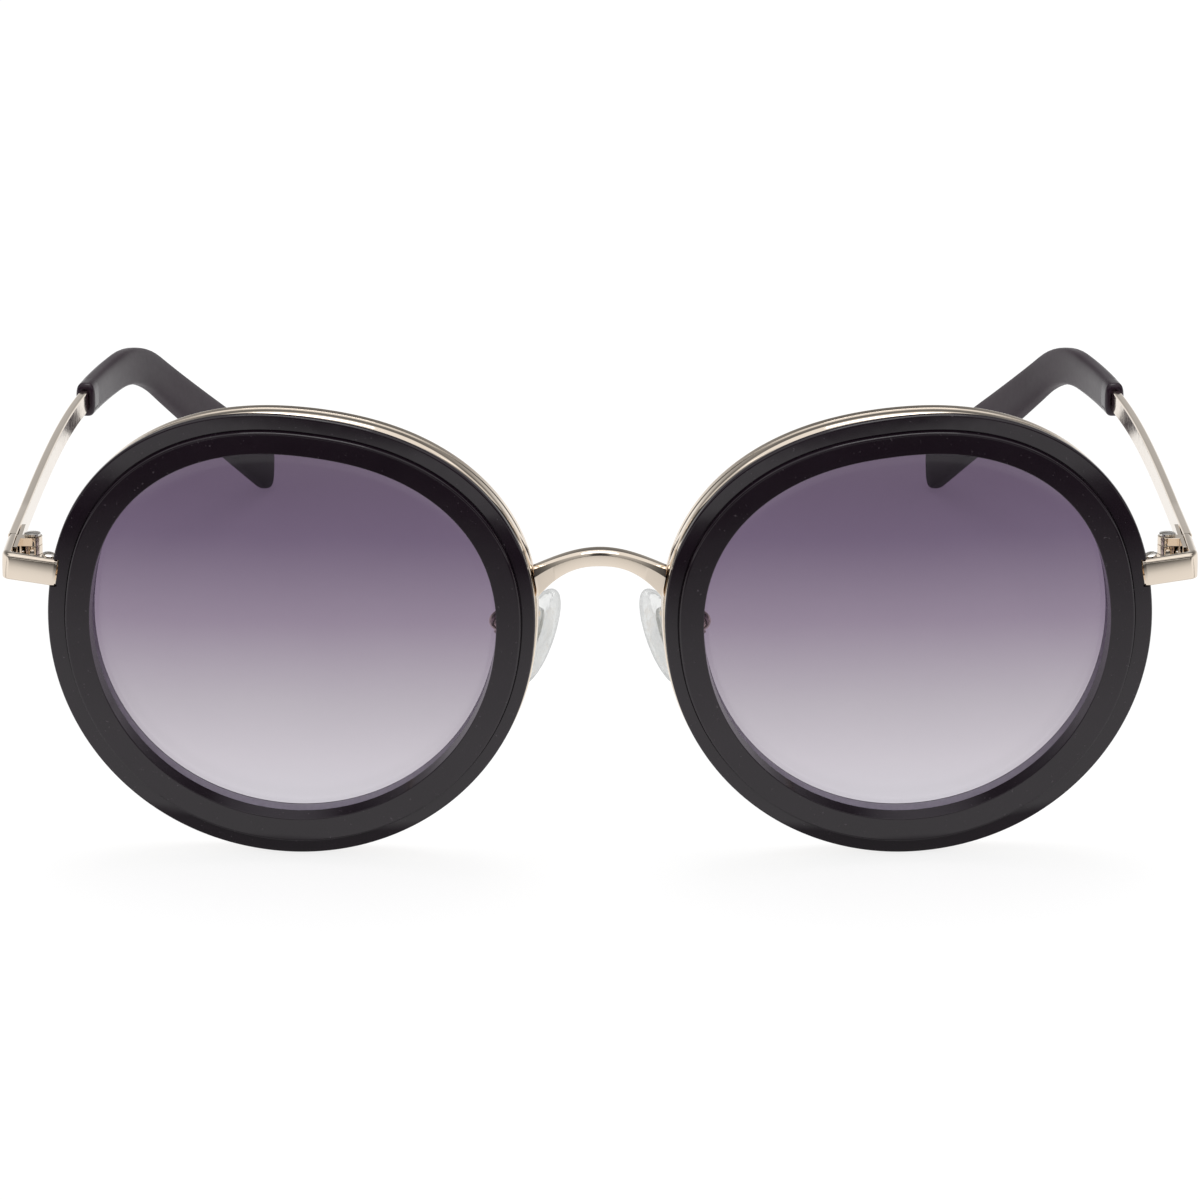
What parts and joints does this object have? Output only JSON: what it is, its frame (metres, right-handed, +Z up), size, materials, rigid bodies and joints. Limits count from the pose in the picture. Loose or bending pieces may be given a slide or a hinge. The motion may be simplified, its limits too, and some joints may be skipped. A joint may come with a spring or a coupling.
{
  "type": "sunglasses",
  "caption": "Round sunglasses with glossy black acetate rings in thin pale gold rims, a slim arched bridge, folding metal temples with black tips and swivelling nose pads.",
  "frame": {"origin": "centre of the bounding box's bottom, where the open glasses stand on both rings and both temple tips", "axes": "+X to the wearer's left, -Y the way the wearer faces, +Z up"},
  "size_m": [0.1452, 0.1516, 0.0591],
  "materials": {
    "black_acetate": "polished",
    "tinted_lens": "polished, with a grey-violet tint that fades downwards",
    "pale_gold": "polished pale gold plating",
    "steel": "bright",
    "clear_plastic": "clear",
    "clear_silicone": "soft, clear"
  },
  "bodies": {
    "front": {"bridge": "pale_gold", "acetate_ring_left": "black_acetate", "lens_left": "tinted_lens", "eyewire_left": "pale_gold", "rim_lock_upper_left": "pale_gold", "rim_lock_lower_left": "pale_gold", "rim_lock_screw_left": "steel", "end_piece_left": "pale_gold", "hinge_front_left": "pale_gold", "hinge_screw_left": "steel", "pad_arm_left": "pale_gold", "pad_box_left": "pale_gold", "pad_screw_left": "steel", "acetate_ring_right": "black_acetate", "lens_right": "tinted_lens", "eyewire_right": "pale_gold", "rim_lock_upper_right": "pale_gold", "rim_lock_lower_right": "pale_gold", "rim_lock_screw_right": "steel", "end_piece_right": "pale_gold", "hinge_front_right": "pale_gold", "hinge_screw_right": "steel", "pad_arm_right": "pale_gold", "pad_box_right": "pale_gold", "pad_screw_right": "steel"},
    "temple_left": {"hinge_temple_left": "pale_gold", "temple_bar_left": "pale_gold", "temple_tip_left": "black_acetate"},
    "nose_pad_left": {"pad_core_left": "clear_plastic", "nose_pad_left": "clear_silicone"},
    "temple_right": {"hinge_temple_right": "pale_gold", "temple_bar_right": "pale_gold", "temple_tip_right": "black_acetate"},
    "nose_pad_right": {"pad_core_right": "clear_plastic", "nose_pad_right": "clear_silicone"}
  },
  "joints": [
    {"name": "temple_fold_left", "type": "hinge", "parent": "front", "child": "temple_left", "pos_m": [0.06947, -0.05948, 0.03682], "axis": [0, 0.0568, 0.9984], "range_deg": [0, 81]},
    {"name": "pad_swivel_left", "type": "hinge", "parent": "front", "child": "nose_pad_left", "pos_m": [0.0108, -0.06414, 0.02759], "axis": [0.4695, 0.8772, 0.1006], "range_deg": [-12, 12]},
    {"name": "temple_fold_right", "type": "hinge", "parent": "front", "child": "temple_right", "pos_m": [-0.06947, -0.05948, 0.03682], "axis": [0, -0.0568, -0.9984], "range_deg": [0, 74]},
    {"name": "pad_swivel_right", "type": "hinge", "parent": "front", "child": "nose_pad_right", "pos_m": [-0.0108, -0.06414, 0.02759], "axis": [-0.4695, 0.8772, 0.1006], "range_deg": [-12, 12]}
  ]
}
